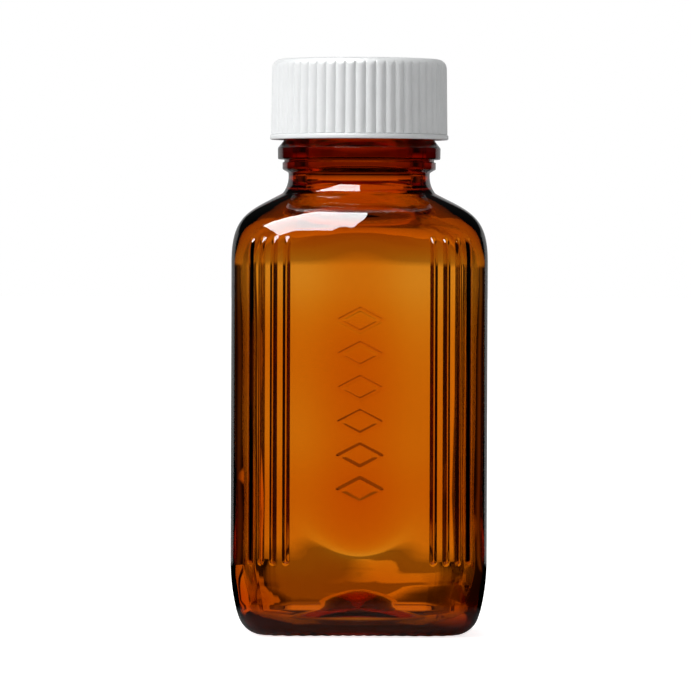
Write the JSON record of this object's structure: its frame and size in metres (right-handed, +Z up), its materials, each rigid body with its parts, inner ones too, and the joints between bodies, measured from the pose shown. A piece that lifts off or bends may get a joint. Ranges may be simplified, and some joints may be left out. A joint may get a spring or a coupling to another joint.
{
  "type": "square medicine bottle",
  "caption": "Square amber glass bottle with ribs on the two front corners, a lozenge relief on the front panel and a ribbed white screw cap with a liner.",
  "frame": {"origin": "centre of the face that the bottle stands on", "axes": "+Z up along the bottle's axis, -Y out of the front panel that carries the relief"},
  "size_m": [0.0584, 0.059, 0.1316],
  "materials": {
    "amber_glass": "clear, fire polished",
    "cap_plastic": "satin moulded polypropylene",
    "liner_foam": "matt foamed polyethylene",
    "liner_film": "smooth film"
  },
  "bodies": {
    "bottle": {"bottle": "amber_glass"},
    "liner": {"liner_wad": "liner_foam", "liner_facing": "liner_film"},
    "cap": {"screw_cap": "cap_plastic"}
  },
  "joints": [
    {"name": "cap_lift", "type": "slide", "parent": "bottle", "child": "liner", "axis": [0, 0, 1], "range_m": [0, 0.021]},
    {"name": "cap_turn", "type": "hinge", "parent": "liner", "child": "cap", "pos_m": [0, 0, 0.12], "axis": [0, 0, 1], "range_deg": [0, 1800]}
  ],
  "couplings": [
    {"joint": "cap_lift", "follows": "cap_turn", "m_per_rad": 0.00066845}
  ]
}
